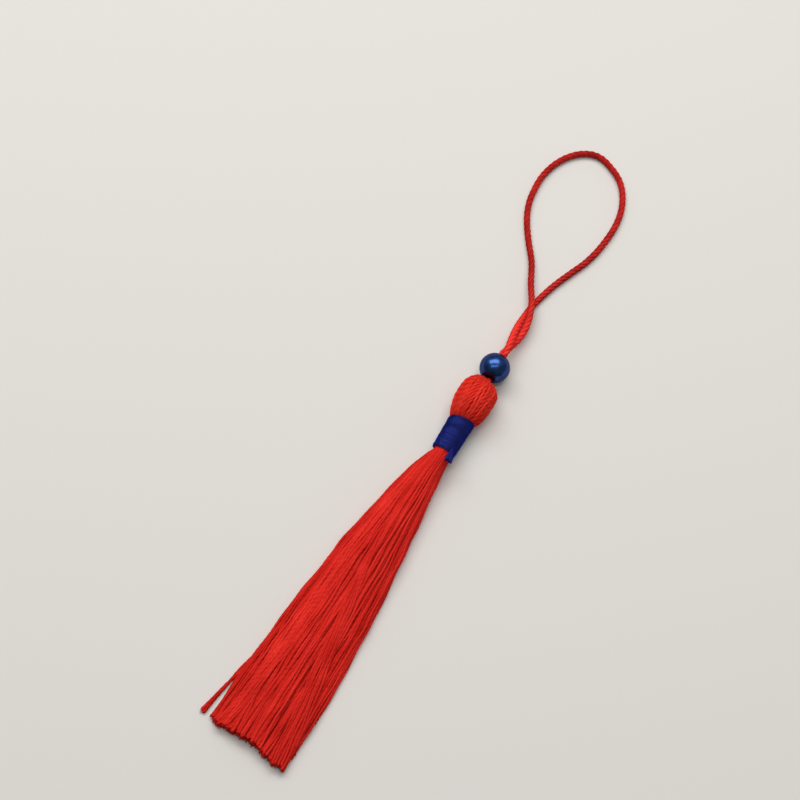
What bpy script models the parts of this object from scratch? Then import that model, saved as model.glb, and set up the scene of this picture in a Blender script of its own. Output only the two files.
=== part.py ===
"""Silk tassel lying on its side on a table, with its hanging loop laid out above it.

Sizes are millimetres, and MM turns them into metres where a mesh is made. X runs across the tassel,
+Y from the cut ends of the skirt to the hanging loop, and Z up from the table. The origin is on the
table, under the middle of the tassel without its loop.
"""

import math

import bpy
import numpy as np

MM = 0.001
CLEAR = 0.3              # gap between two pieces that really touch

# Yarns: bound at the waist, round in the head, loose in the skirt
STRANDS = 132            # yarns in the skirt
WAIST_RADIUS = 1.8       # the yarns squeezed together under the binding
WAIST_AXIS_X = 3.45      # the tassel's axis, from the waist to the bead
WAIST_AXIS_Z = 2.85
SKIRT_START = 21.2       # where the yarns leave the waist
ROOT_DEPTH = 0.8         # how far a strand's root runs into the waist
STRAND_FILL = 0.86       # strand width as a share of the space from one strand to the next
PACKING = 0.80           # share of a section that round strands can fill
EDGE_INSET = 0.66        # from a section's edge to its outer strands, in strand widths
ROOT_TURN = 11.0         # degrees that the packed roots are turned, so that no flats line up
SETTLE_STEPS = 5         # in-between sections while the round waist spreads into the flat skirt
SETTLE_ROUNDS = 70       # pushes in each of them
HEM_SPREAD = 0.25        # how unevenly the strands are cut
HEM_SLANT = 0.35         # how much sooner a strand ends for each mm that it lies higher

# Outline of the skirt: y, left x, right x, z of the widest line, z of the top
SKIRT_SECTIONS = (
    (21.2, 1.65, 5.25, 2.85, 4.65),
    (19.8, 0.65, 5.40, 2.60, 4.90),
    (16.8, -0.50, 5.65, 1.90, 4.80),
    (10.0, -2.15, 6.50, 1.30, 4.45),
    (-2.0, -4.28, 7.80, 0.80, 3.85),
    (-14.0, -5.75, 8.95, 0.50, 3.35),
    (-28.0, -6.95, 9.62, 0.40, 2.85),
    (-44.3, -7.75, 9.50, 0.30, 2.45),
)

# Cut ends of the skirt: x, y
HEM_LINE = (
    (-7.8, -42.2),
    (-6.2, -42.8),
    (2.0, -42.6),
    (3.2, -43.0),
    (6.6, -43.8),
    (9.4, -43.9),
)

# Strands at the skirt's edges that go their own way: place from the left edge, shift in x, end y
EDGE_STRANDS = (
    (0, -2.20, -42.5),
    (-1, 0.30, -33.3),
    (-2, 0.10, -39.9),
    (-3, 0.05, -40.6),
)

# Head: yarns lying side by side from the waist over the top; y, radius, x and z of the middle
HEAD_YARNS = 36
HEAD_GROOVE = 0.24       # depth between two yarns where the head is widest
HEAD_LEAN = 14.0         # degrees that the yarns turn round the axis on their way up
HEAD_SECTIONS = (
    (29.3, 2.75, 3.45, 2.90),
    (29.8, 3.15, 3.42, 3.05),
    (30.9, 3.52, 3.37, 3.25),
    (32.3, 3.76, 3.30, 3.36),
    (34.0, 3.84, 3.25, 3.40),
    (35.4, 3.73, 3.27, 3.36),
    (36.4, 3.39, 3.32, 3.26),
    (37.2, 2.88, 3.37, 3.17),
    (37.8, 2.25, 3.42, 3.12),
    (38.0, 1.75, 3.45, 3.10),
)
POCKET_RADIUS = 1.3      # where the cord goes down between the yarns
POCKET_MOUTH = 37.9
POCKET_FLOOR = 36.3

# Binding: thread wound round the waist, y and outer radius
BINDING_SIDES = 30
BINDING_SECTIONS = (
    (21.6, 2.28),
    (22.0, 2.38),
    (25.2, 2.43),
    (28.6, 2.55),
    (29.0, 2.44),
)

# Cut tail of the binding thread: y, distance from the waist's axis, radius
TAIL_SIDES = 8
TAIL_ANGLE = 52.0        # degrees above the tassel's right-hand side
TAIL_SECTIONS = (
    (22.7, 2.26, 0.12),
    (21.9, 2.46, 0.34),
    (21.2, 2.72, 0.48),
    (20.4, 3.00, 0.54),
    (19.5, 3.32, 0.46),
)

# Bead
BEAD_RADIUS = 2.9
BEAD_Y = 40.9
BEAD_Z = 3.1             # held just clear of the table by the cord and the head
BEAD_HOLE_RADIUS = 1.22
BEAD_SIDES = 24
BEAD_RINGS = 9

# Hanging cord: three plies laid up to the right, legs wound round each other to the left
CORD_RIDGE = 0.61        # from the centreline to the top of a ply
CORD_GROOVE = 0.46       # from the centreline to the groove between two plies
CORD_PLIES = 3
CORD_LAY = 3.3           # length of one full turn of the plies
CORD_STEP = 0.36         # from one cross-section to the next
CURVE_POINTS = 24        # points worked out between two points of a route
CORD_SQUEEZE = 0.72      # the cord's size inside the bead's hole
CORD_SQUEEZE_END = 1.2   # length past the bead over which it regains its full size
PAIR_START = 36.6        # the legs' ends, inside the head
PAIR_BEAD = 43.7         # where the pair leaves the bead
PAIR_CROSSING = 56.1     # where the first leg passes over the second
PAIR_POINTS = 13         # points along each leg between the two
PAIR_TURN = 18.0         # degrees that the pair winds for each mm
PAIR_HALF = 0.70         # from the pair's middle to a leg's centreline
PAIR_HALF_IN_BEAD = 0.48
PAIR_OPENING = 2.0       # length past the bead over which the legs move apart

# Middle of the pair between the bead and the crossing: y, x, z
PAIR_MIDDLE = (
    (43.7, 3.45, 3.10),
    (45.7, 3.62, 2.98),
    (48.0, 3.70, 2.66),
    (50.4, 3.67, 2.22),
    (53.0, 3.42, 1.70),
    (55.0, 3.10, 1.39),
    (56.1, 2.92, 1.32),
)

# Route of the hanging loop, from the upper leg at the crossing round to the lower leg: x, y, z
LOOP_ROUTE = (
    (1.85, 57.95, 1.86),
    (0.48, 60.2, 1.50),
    (-1.65, 64.3, 0.92),
    (-4.54, 68.15, 0.64),
    (-6.86, 71.7, 0.62),
    (-8.25, 75.05, 0.62),
    (-8.80, 78.5, 0.62),
    (-8.82, 81.3, 0.62),
    (-8.15, 84.35, 0.62),
    (-6.80, 87.1, 0.62),
    (-4.92, 89.2, 0.62),
    (-2.90, 90.35, 0.62),
    (-1.00, 90.6, 0.62),
    (1.00, 90.1, 0.62),
    (3.75, 88.75, 0.62),
    (5.65, 87.05, 0.62),
    (7.15, 84.7, 0.62),
    (8.15, 81.9, 0.62),
    (8.55, 78.5, 0.62),
    (8.25, 73.85, 0.62),
    (7.40, 69.9, 0.62),
    (6.00, 66.3, 0.62),
    (4.65, 62.85, 0.62),
    (3.70, 59.7, 0.62),
)


def clear_scene():
    for obj in list(bpy.data.objects):
        bpy.data.objects.remove(obj)


def finish_material(name, colour, roughness, sheen):
    """A Principled material with one colour, roughness and sheen."""
    material = bpy.data.materials.new(name)
    material.use_nodes = True
    shader = material.node_tree.nodes["Principled BSDF"]
    shader.inputs["Base Color"].default_value = (*colour, 1.0)
    shader.inputs["Roughness"].default_value = roughness
    shader.inputs["Sheen Weight"].default_value = sheen
    shader.inputs["Metallic"].default_value = 0.0
    return material


def add_solid(name, points, faces, material):
    """An object from points in millimetres and its faces, shaded smooth between flat creases."""
    mesh = bpy.data.meshes.new(name)
    mesh.from_pydata((np.asarray(points) * MM).tolist(), [], faces)
    mesh.materials.append(material)
    mesh.shade_smooth()
    mesh.set_sharp_from_angle(angle=math.radians(50))
    obj = bpy.data.objects.new(name, mesh)
    bpy.context.scene.collection.objects.link(obj)
    return obj


def fuse(base, joined):
    """Adds the joined object's shape to the base with a Boolean union, and hides the joined object."""
    union = base.modifiers.new("fused_" + joined.name, "BOOLEAN")
    union.operation = "UNION"
    union.solver = "EXACT"
    union.object = joined
    joined.hide_render = True
    joined.display_type = "WIRE"


def side_faces(rings, sides):
    """Quads between neighbouring rings of points, with sides points in each."""
    faces = []
    for ring in range(rings - 1):
        start = ring * sides
        for side in range(sides):
            after = (side + 1) % sides
            faces.append((start + side, start + after, start + sides + after, start + sides + side))
    return faces


def closed_tube(rings):
    """Points and faces of a tube through rings of points, with a flat face at each end."""
    count, sides = rings.shape[:2]
    faces = side_faces(count, sides)
    faces.append(tuple(range(sides))[::-1])
    faces.append(tuple(range((count - 1) * sides, count * sides)))
    return rings.reshape(-1, 3), faces


def turned_ring(rows, sides):
    """A closed ring of rings: each row is y and radius, outside first and inside last, about the Y axis."""
    angles = np.linspace(0, 2 * math.pi, sides, endpoint=False)
    rows = np.asarray(rows, float)
    points = np.stack(
        [
            rows[:, 1, None] * np.sin(angles),
            np.repeat(rows[:, 0, None], sides, axis=1),
            rows[:, 1, None] * np.cos(angles),
        ],
        axis=-1,
    ).reshape(-1, 3)
    faces = side_faces(len(rows), sides)
    last = (len(rows) - 1) * sides
    for side in range(sides):
        after = (side + 1) % sides
        faces.append((last + side, last + after, after, side))
    return points, faces


def at_row(rows, place):
    """A table's columns after the first, read at a place in its first column, which falls."""
    table = np.asarray(rows, float)[::-1]
    return [np.interp(place, table[:, 0], table[:, column]) for column in range(1, table.shape[1])]


def skirt_spacing(section):
    """Distance from strand to strand that fills a section: an ellipse above the table, cut off at z = 0."""
    left, right, middle, top = section
    half = (right - left) / 2
    heights = np.linspace(max(0.0, 2 * middle - top), top, 60)
    chords = 2 * half * np.sqrt(np.clip(1 - ((heights - middle) / (top - middle)) ** 2, 0, None))
    area = chords.mean() * (heights[-1] - heights[0])
    return math.sqrt(PACKING * 4 * area / (math.pi * STRANDS))


def keep_inside(points, section, width):
    """Pulls strands of this width onto a section's edge where they lie outside it, and up to the table."""
    left, right, middle, top = section
    centre = np.array([(left + right) / 2, middle])
    reach = np.array([(right - left) / 2, top - middle]) - EDGE_INSET * width
    away = (points - centre) / reach
    distance = np.maximum(np.linalg.norm(away, axis=1), 1.0)
    points = centre + away / distance[:, None] * reach
    points[:, 1] = np.maximum(points[:, 1], width * math.sqrt(3) / 6)
    return points


def crowding(points, spacing):
    """How far each strand is pushed by those that lie closer to it than spacing."""
    gaps = points[..., :, None, :] - points[..., None, :, :]
    distances = np.linalg.norm(gaps, axis=-1) + 2 * spacing * np.eye(points.shape[-2])
    push = np.clip(spacing - distances, 0, None) / distances * 0.35
    return (gaps * push[..., None]).sum(axis=-2)


def settle(points, section, spacing, width):
    """Pushes apart the strands that lie closer than spacing, then back inside the section, many times."""
    for _ in range(SETTLE_ROUNDS):
        points = keep_inside(points + crowding(points, spacing), section, width)
    return points


def part_between(paths, sections, spacings):
    """Pushes apart the strands that would meet on the straight way from one section to the next."""
    for _ in range(SETTLE_ROUNDS):
        for share in (0.0, 0.25, 0.5, 0.75, 1.0):
            between = paths[:-1] * (1 - share) + paths[1:] * share
            near = (spacings[:-1] * (1 - share) + spacings[1:] * share)[:, None, None]
            push = crowding(between, near)
            paths[:-1] += push * (1 - share)
            paths[1:] += push * share
        for row, section in enumerate(sections):
            paths[row] = keep_inside(paths[row], section, STRAND_FILL * spacings[row])
    return paths


def strand_paths():
    """Each strand's x and z at every row of the skirt table, and its width there.

    The yarns start as a round packed bundle at the waist. From section to section the bundle is
    stretched to the new outline and settled again, so that the strands never cross.
    """
    across = np.arange(-20, 21)
    grid = [(a + 0.5 * (b % 2), b * math.sqrt(3) / 2) for a in across for b in across]
    grid = sorted(grid, key=lambda p: (round(math.hypot(*p), 6), math.atan2(p[1], p[0])))[:STRANDS]
    round_reach = max(math.hypot(*p) for p in grid)
    turn = math.radians(ROOT_TURN)
    turned = np.array(grid) @ [(math.cos(turn), math.sin(turn)), (-math.sin(turn), math.cos(turn))]
    points = turned / round_reach * WAIST_RADIUS + (WAIST_AXIS_X, WAIST_AXIS_Z)
    old = at_row(SKIRT_SECTIONS, SKIRT_SECTIONS[0][0])
    paths, sections, spacings = [], [], []
    for row, (y, *_) in enumerate(SKIRT_SECTIONS):
        before = SKIRT_SECTIONS[max(row - 1, 0)][0]
        for part in range(1, SETTLE_STEPS + 1):
            new = at_row(SKIRT_SECTIONS, before + (y - before) * part / SETTLE_STEPS)
            old_centre = np.array([(old[0] + old[1]) / 2, old[2]])
            new_centre = np.array([(new[0] + new[1]) / 2, new[2]])
            grown = np.array([new[1] - new[0], new[3] - new[2]]) / (old[1] - old[0], old[3] - old[2])
            spacing = skirt_spacing(new)
            points = (points - old_centre) * grown + new_centre
            points = settle(points, new, spacing, STRAND_FILL * spacing)
            old = new
        paths.append(points)
        sections.append(new)
        spacings.append(spacing)
    paths, spacings = np.array(paths), np.array(spacings)
    return part_between(paths, sections, spacings), STRAND_FILL * spacings


def strand_ends(paths):
    """Where each strand is cut on its straight way to the last section: x and z, and y."""
    rng = np.random.default_rng(7)
    before, last = paths[-2], paths[-1]
    hem = np.asarray(HEM_LINE)
    cuts = np.interp(last[:, 0], hem[:, 0], hem[:, 1])
    cuts = cuts + HEM_SLANT * (last[:, 1] - 1.0) + rng.uniform(-1, 1, STRANDS) * HEM_SPREAD
    cuts = np.maximum(cuts, SKIRT_SECTIONS[-1][0])
    low = np.flatnonzero(last[:, 1] < 0.5)
    order = low[np.argsort(last[low, 0])]
    for place, _, y in EDGE_STRANDS:
        cuts[order[place]] = y
    start, end = SKIRT_SECTIONS[-2][0], SKIRT_SECTIONS[-1][0]
    share = ((cuts - start) / (end - start))[:, None]
    places = before + (last - before) * share
    for place, shift, _ in EDGE_STRANDS:
        places[order[place], 0] += shift
    return places, cuts


def strand_solids():
    """Every strand of the skirt as a three-sided tapering prism, flat side down."""
    paths, widths = strand_paths()
    places, cuts = strand_ends(paths)
    rows = np.array([row[0] for row in SKIRT_SECTIONS])
    corners = np.array([(-0.5, -math.sqrt(3) / 6), (0.5, -math.sqrt(3) / 6), (0.0, math.sqrt(3) / 3)])
    sizes = np.concatenate([widths[:1], widths])
    points, faces = [], []
    for strand in range(STRANDS):
        centres = np.vstack([paths[0, strand], paths[:-1, strand], places[strand]])
        along = np.concatenate([[rows[0] + ROOT_DEPTH], rows[:-1], cuts[strand : strand + 1]])
        section = centres[:, None] + corners * sizes[:, None, None]
        ys = np.repeat(along[:, None], len(corners), axis=1)
        strand_points, strand_faces = closed_tube(np.stack([section[..., 0], ys, section[..., 1]], axis=-1))
        shift = len(points) * len(strand_points)
        points.append(strand_points)
        faces += [tuple(corner + shift for corner in face) for face in strand_faces]
    return np.concatenate(points), faces


def head_solid():
    """Waist and head in one turned solid, with a raised ridge for each yarn and a flat where it rests."""
    sides = 2 * HEAD_YARNS
    ridge = np.arange(sides) % 2 == 0
    base = np.arange(sides) * 2 * math.pi / sides
    start, end = HEAD_SECTIONS[0][0], HEAD_SECTIONS[-1][0]
    widest = max(row[1] for row in HEAD_SECTIONS)
    rows = [(y, WAIST_RADIUS, WAIST_AXIS_X, WAIST_AXIS_Z, 0.0) for y in (SKIRT_START, start)]
    rows += [(y, radius, x, z, HEAD_GROOVE * radius / widest) for y, radius, x, z in HEAD_SECTIONS]
    rows += [(y, POCKET_RADIUS, WAIST_AXIS_X, BEAD_Z, 0.0) for y in (POCKET_MOUTH, POCKET_FLOOR)]
    rings = []
    for y, radius, x, z, groove in rows:
        turn = math.radians(HEAD_LEAN) * np.clip((y - start) / (end - start), 0, 1)
        reach = np.where(ridge, radius, radius - groove)
        rings.append(
            np.stack(
                [
                    x + reach * np.sin(base + turn),
                    np.full(sides, y),
                    np.maximum(z + reach * np.cos(base + turn), 0.0),
                ],
                axis=-1,
            )
        )
    return closed_tube(np.array(rings))


def tail_solid():
    """Cut end of the binding thread, rising off the binding's end over the skirt."""
    rows = np.asarray(TAIL_SECTIONS)
    lean = math.radians(TAIL_ANGLE)
    around = np.linspace(0, 2 * math.pi, TAIL_SIDES, endpoint=False)
    centres = np.stack(
        [
            WAIST_AXIS_X + rows[:, 1] * math.cos(lean),
            rows[:, 0],
            WAIST_AXIS_Z + rows[:, 1] * math.sin(lean),
        ],
        axis=-1,
    )
    circle = np.stack([np.cos(around), np.zeros(TAIL_SIDES), np.sin(around)], axis=-1)
    return closed_tube(centres[:, None] + circle * rows[:, 2, None, None])


def bead_rows():
    """The bead's outline: round outside from one mouth of the hole to the other, straight inside."""
    mouth = math.asin(BEAD_HOLE_RADIUS / BEAD_RADIUS)
    angles = np.linspace(math.pi - mouth, mouth, BEAD_RINGS)
    return [(BEAD_RADIUS * math.cos(a), BEAD_RADIUS * math.sin(a)) for a in angles]


def pair_leg(side):
    """Points of one leg of the cord from its end in the head to the crossing; side is 1 or -1."""
    ys = np.concatenate([[PAIR_START, BEAD_Y], np.linspace(PAIR_BEAD, PAIR_CROSSING, PAIR_POINTS)])
    middle = np.asarray(PAIR_MIDDLE)
    opened = np.clip((ys - PAIR_BEAD) / PAIR_OPENING, 0, 1)
    half = PAIR_HALF_IN_BEAD + (PAIR_HALF - PAIR_HALF_IN_BEAD) * opened
    angle = np.radians(90 + PAIR_TURN * (PAIR_CROSSING - np.maximum(ys, PAIR_BEAD)))
    x = np.interp(ys, middle[:, 0], middle[:, 1]) - side * half * np.cos(angle)
    z = np.interp(ys, middle[:, 0], middle[:, 2]) + side * half * np.sin(angle)
    return np.stack([x, ys, z], axis=-1)


def smooth_route(route, step):
    """Points a step apart on the Catmull-Rom curve through the route."""
    route = np.asarray(route, float)
    ends = np.vstack([2 * route[0] - route[1], route, 2 * route[-1] - route[-2]])
    knots = np.concatenate([[0], np.cumsum(np.sqrt(np.linalg.norm(np.diff(ends, axis=0), axis=1)))])
    slopes = (ends[2:] - ends[:-2]) / (knots[2:] - knots[:-2])[:, None]
    fine = []
    for i in range(len(route) - 1):
        span = knots[i + 2] - knots[i + 1]
        t = np.linspace(0, 1, CURVE_POINTS, endpoint=False)[:, None]
        fine.append(
            (2 * t**3 - 3 * t**2 + 1) * route[i]
            + (t**3 - 2 * t**2 + t) * span * slopes[i]
            + (3 * t**2 - 2 * t**3) * route[i + 1]
            + (t**3 - t**2) * span * slopes[i + 1]
        )
    fine = np.vstack([*fine, route[-1]])
    lengths = np.concatenate([[0], np.cumsum(np.linalg.norm(np.diff(fine, axis=0), axis=1))])
    places = np.linspace(0, lengths[-1], round(lengths[-1] / step) + 1)
    return np.stack([np.interp(places, lengths, fine[:, axis]) for axis in range(3)], axis=-1)


def cord_route():
    return np.vstack([pair_leg(1), LOOP_ROUTE, pair_leg(-1)[::-1]])


def cord_solid():
    """The cord as one tube: a ridge for each ply and a groove between them, turning along the way."""
    line = smooth_route(cord_route(), CORD_STEP)
    ahead = np.gradient(line, axis=0)
    ahead /= np.linalg.norm(ahead, axis=1)[:, None]
    sides = 2 * CORD_PLIES
    reach = np.where(np.arange(sides) % 2 == 0, CORD_RIDGE, CORD_GROOVE)
    free = np.clip((line[:, 1] - PAIR_BEAD) / CORD_SQUEEZE_END, 0, 1)
    size = CORD_SQUEEZE + (1 - CORD_SQUEEZE) * free
    across = np.cross(ahead[0], (0.0, 0.0, 1.0))
    rings = []
    for place, (centre, forward) in enumerate(zip(line, ahead)):
        across = across - forward * (across @ forward)
        across = across / np.linalg.norm(across)
        up = np.cross(forward, across)
        turn = 2 * math.pi * place * CORD_STEP / CORD_LAY
        angles = turn + np.arange(sides) * 2 * math.pi / sides
        spread = np.cos(angles)[:, None] * across + np.sin(angles)[:, None] * up
        rings.append(centre + spread * reach[:, None] * size[place])
    return closed_tube(np.array(rings))


def build():
    clear_scene()
    silk = finish_material("red_silk", (0.62, 0.020, 0.012), 0.55, 0.4)
    navy = finish_material("navy_thread", (0.012, 0.014, 0.13), 0.45, 0.3)
    pearl = finish_material("navy_pearl", (0.015, 0.040, 0.18), 0.18, 0.0)
    cord = finish_material("red_cord", (0.58, 0.020, 0.015), 0.6, 0.4)

    bundle = add_solid("yarn_bundle", *head_solid(), silk)
    fuse(bundle, add_solid("skirt_strands", *strand_solids(), silk))

    inside = WAIST_RADIUS + CLEAR
    first, last = BINDING_SECTIONS[0][0], BINDING_SECTIONS[-1][0]
    rows = [*BINDING_SECTIONS, (last, inside), (first, inside)]
    points, faces = turned_ring(rows, BINDING_SIDES)
    binding = add_solid("binding_thread", points + (WAIST_AXIS_X, 0, WAIST_AXIS_Z), faces, navy)
    fuse(binding, add_solid("binding_tail", *tail_solid(), navy))

    points, faces = turned_ring(bead_rows(), BEAD_SIDES)
    add_solid("bead", points + (WAIST_AXIS_X, BEAD_Y, BEAD_Z), faces, pearl)

    add_solid("hanging_cord", *cord_solid(), cord)


build()
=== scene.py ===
"""Silk tassel lying on a table: red yarn skirt and head, navy binding and bead, red hanging cord.

Sizes are millimetres, in the frame of the solids: X across the tassel, +Y from the skirt's cut ends to
the hanging loop, Z up from the table. A mesh is turned into metres where it is made, and the camera,
the table and the lights are given in metres.
"""

import math

import bpy
import numpy as np
from mathutils import Matrix


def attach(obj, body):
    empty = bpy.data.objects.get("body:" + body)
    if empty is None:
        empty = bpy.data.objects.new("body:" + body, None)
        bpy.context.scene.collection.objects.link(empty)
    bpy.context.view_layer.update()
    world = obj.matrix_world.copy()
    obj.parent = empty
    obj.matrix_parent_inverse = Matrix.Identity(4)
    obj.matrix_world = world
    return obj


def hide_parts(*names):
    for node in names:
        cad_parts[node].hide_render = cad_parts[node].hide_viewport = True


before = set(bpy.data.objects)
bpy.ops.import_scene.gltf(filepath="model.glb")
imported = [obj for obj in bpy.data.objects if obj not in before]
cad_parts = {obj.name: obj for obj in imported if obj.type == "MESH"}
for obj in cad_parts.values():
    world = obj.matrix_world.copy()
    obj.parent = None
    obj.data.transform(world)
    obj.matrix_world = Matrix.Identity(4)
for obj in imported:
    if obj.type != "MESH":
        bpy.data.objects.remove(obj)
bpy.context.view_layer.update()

# Camera: the photograph was taken from above the skirt's end, with a long lens, a little turned, so that
# the tassel runs from the lower left to the upper right.
camera_lens = bpy.data.cameras.new("photograph")
camera_lens.sensor_width = 36.0
camera_lens.lens = 108.94
camera_lens.clip_start = 0.02
camera_lens.clip_end = 6.0
camera = bpy.data.objects.new("photograph", camera_lens)
bpy.context.scene.collection.objects.link(camera)
picture_right = (0.86033, 0.50934, 0.02016)
picture_up = (-0.48500, 0.80577, 0.33988)
towards_camera = (0.15688, -0.30219, 0.94025)
camera_place = (0.06252, -0.11074, 0.42920)
camera_rows = list(zip(picture_right, picture_up, towards_camera, camera_place))
camera.matrix_world = Matrix(camera_rows + [(0.0, 0.0, 0.0, 1.0)])
bpy.context.scene.camera = camera


# Hanging cord: three plies of red silk laid up to the right. It comes out of the head through the bead
# as two legs that wind round each other to the left, and opens into the loop that the tassel hangs by.
# Pinched in the bead, it swells where the legs are wound, and there light is painted into its colour.
MM = 0.001
CORD_LAY = 3.3
CORD_STEP = 0.15
PAIR_START = 36.6
PAIR_BEAD = 43.7
PAIR_CROSSING = 56.1
PAIR_TURN = 18.0
PAIR_HALF_IN_BEAD = 0.48
PAIR_HALF = 0.70
# Middle of the pair: y, x, z
PAIR_MIDDLE = np.array(
    [
        (43.7, 3.45, 3.10),
        (45.7, 3.62, 2.98),
        (48.0, 3.70, 2.66),
        (50.4, 3.67, 2.22),
        (53.0, 3.42, 1.70),
        (55.0, 3.10, 1.39),
        (56.1, 2.92, 1.32),
    ]
)
# The loop from the upper leg round to the lower one: x, y, z
LOOP_ROUTE = np.array(
    [
        (1.85, 57.95, 1.86),
        (0.48, 60.2, 1.50),
        (-1.65, 64.3, 0.92),
        (-4.54, 68.15, 0.64),
        (-6.86, 71.7, 0.62),
        (-8.25, 75.05, 0.62),
        (-8.80, 78.5, 0.62),
        (-8.82, 81.3, 0.62),
        (-8.15, 84.35, 0.62),
        (-6.80, 87.1, 0.62),
        (-4.92, 89.2, 0.62),
        (-2.90, 90.35, 0.62),
        (-1.00, 90.6, 0.62),
        (1.00, 90.1, 0.62),
        (3.75, 88.75, 0.62),
        (5.65, 87.05, 0.62),
        (7.15, 84.7, 0.62),
        (8.15, 81.9, 0.62),
        (8.55, 78.5, 0.62),
        (8.25, 73.85, 0.62),
        (7.40, 69.9, 0.62),
        (6.00, 66.3, 0.62),
        (4.65, 62.85, 0.62),
        (3.70, 59.7, 0.62),
    ]
)


def pair_leg(side):
    """Points of one leg from its end in the head to the crossing.

    The leg turns round the pair's middle: x = middle - side * half * cos(angle) and
    z = middle + side * half * sin(angle), where the angle grows by 18 degrees for each millimetre.
    """
    ys = np.concatenate([[PAIR_START, 40.9], np.linspace(PAIR_BEAD, PAIR_CROSSING, 13)])
    half = PAIR_HALF_IN_BEAD + (PAIR_HALF - PAIR_HALF_IN_BEAD) * np.clip((ys - PAIR_BEAD) / 2.0, 0, 1)
    angle = np.radians(90 + PAIR_TURN * (PAIR_CROSSING - np.maximum(ys, PAIR_BEAD)))
    x = np.interp(ys, PAIR_MIDDLE[:, 0], PAIR_MIDDLE[:, 1]) - side * half * np.cos(angle)
    z = np.interp(ys, PAIR_MIDDLE[:, 0], PAIR_MIDDLE[:, 2]) + side * half * np.sin(angle)
    return np.stack([x, ys, z], axis=-1)


def smooth_route(route, step):
    """Points a step apart on the Catmull-Rom curve through the route: on each span a cubic that starts
    and ends at two of the route's points, with a slope from the neighbours on either side."""
    ends = np.vstack([2 * route[0] - route[1], route, 2 * route[-1] - route[-2]])
    spans = np.sqrt(np.linalg.norm(np.diff(ends, axis=0), axis=1))
    slopes = (ends[2:] - ends[:-2]) / (spans[1:] + spans[:-1])[:, None]
    t = np.linspace(0, 1, 24, endpoint=False)[None, :, None]
    start, after = route[:-1, None], route[1:, None]
    length = spans[1:-1, None, None]
    fine = (
        (2 * t**3 - 3 * t**2 + 1) * start
        + (t**3 - 2 * t**2 + t) * length * slopes[:-1, None]
        + (3 * t**2 - 2 * t**3) * after
        + (t**3 - t**2) * length * slopes[1:, None]
    )
    fine = np.vstack([fine.reshape(-1, 3), route[-1]])
    lengths = np.concatenate([[0], np.cumsum(np.linalg.norm(np.diff(fine, axis=0), axis=1))])
    places = np.linspace(0, lengths[-1], round(lengths[-1] / step) + 1)
    return np.stack([np.interp(places, lengths, fine[:, axis]) for axis in range(3)], axis=-1)


def crosswise(paths, outward):
    """Two unit directions square to each path: the part of outward that is square to the path's own
    direction, and the path's direction crossed with it."""
    ahead = np.gradient(paths, axis=-2)
    ahead /= np.linalg.norm(ahead, axis=-1, keepdims=True)
    first = outward - ahead * (outward * ahead).sum(axis=-1, keepdims=True)
    first /= np.linalg.norm(first, axis=-1, keepdims=True)
    return first, np.cross(ahead, first)


def carried(paths, outward, along_first, along_second):
    """Rings carried along paths: centre + first * along_first + second * along_second, where first and
    second are the two directions of crosswise."""
    first, second = crosswise(paths, outward)
    return (
        paths[..., None, :]
        + first[..., None, :] * along_first[..., None]
        + second[..., None, :] * along_second[..., None]
    )


def full_circle(sides):
    """The angles of the corners of a ring: 2 pi * corner / sides."""
    return np.arange(sides) * 2 * math.pi / sides


def add_tubes(name, rings, along, shade, material):
    """One piece of many closed tubes. rings[tube, ring, side] are points, joined to the next side and
    the next ring by quads, and each end is one flat face. The UV map runs once round the tube in u and
    has along, in millimetres, in v. shade, one number for each tube or each ring, is kept as a point
    attribute."""
    tubes, count, sides = rings.shape[:3]
    index = np.arange(tubes * count * sides).reshape(tubes, count, sides)
    after = np.roll(index, -1, axis=2)
    quads = np.stack([index[:, :-1], after[:, :-1], after[:, 1:], index[:, 1:]], axis=-1)
    ends = np.stack([index[:, 0, ::-1], index[:, -1]], axis=1)
    corners = np.concatenate([quads.ravel(), ends.ravel()])
    totals = np.concatenate([np.full(quads.size // 4, 4), np.full(2 * tubes, sides)])
    mesh = bpy.data.meshes.new(name)
    mesh.vertices.add(index.size)
    mesh.vertices.foreach_set("co", (rings * MM).ravel())
    mesh.loops.add(len(corners))
    mesh.loops.foreach_set("vertex_index", corners)
    mesh.polygons.add(len(totals))
    mesh.polygons.foreach_set("loop_start", np.cumsum(totals) - totals)
    mesh.update(calc_edges=True)
    around = np.broadcast_to(np.arange(sides) / sides, index.shape)
    beyond = np.broadcast_to((np.arange(sides) + 1) / sides, index.shape)
    here = np.broadcast_to(along[..., None], index.shape)
    u = np.stack([around[:, :-1], beyond[:, :-1], beyond[:, 1:], around[:, 1:]], axis=-1)
    v = np.stack([here[:, :-1], here[:, :-1], here[:, 1:], here[:, 1:]], axis=-1)
    u = np.concatenate([u.ravel(), np.stack([around[:, 0], around[:, -1]], axis=1).ravel()])
    v = np.concatenate([v.ravel(), np.stack([here[:, 0], here[:, -1]], axis=1).ravel()])
    mesh.uv_layers.new(name="yarn").data.foreach_set("uv", np.stack([u, v], axis=-1).ravel())
    shade = np.asarray(shade, float).reshape(tubes, -1)
    spread = np.repeat(np.broadcast_to(shade, (tubes, count)).ravel(), sides)
    mesh.attributes.new("shade", "FLOAT", "POINT").data.foreach_set("value", spread)
    mesh.materials.append(material)
    mesh.shade_smooth()
    mesh.set_sharp_from_angle(angle=math.radians(60))
    piece = bpy.data.objects.new(name, mesh)
    bpy.context.scene.collection.objects.link(piece)
    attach(piece, "root")
    return piece


def joined(tree, operation, *values):
    """A Math node's result, where the values are numbers or another node's output."""
    node = tree.nodes.new("ShaderNodeMath")
    node.operation = operation
    for socket, value in zip(node.inputs, values):
        if isinstance(value, (int, float)):
            socket.default_value = value
        else:
            tree.links.new(value, socket)
    return node.outputs[0]


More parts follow.
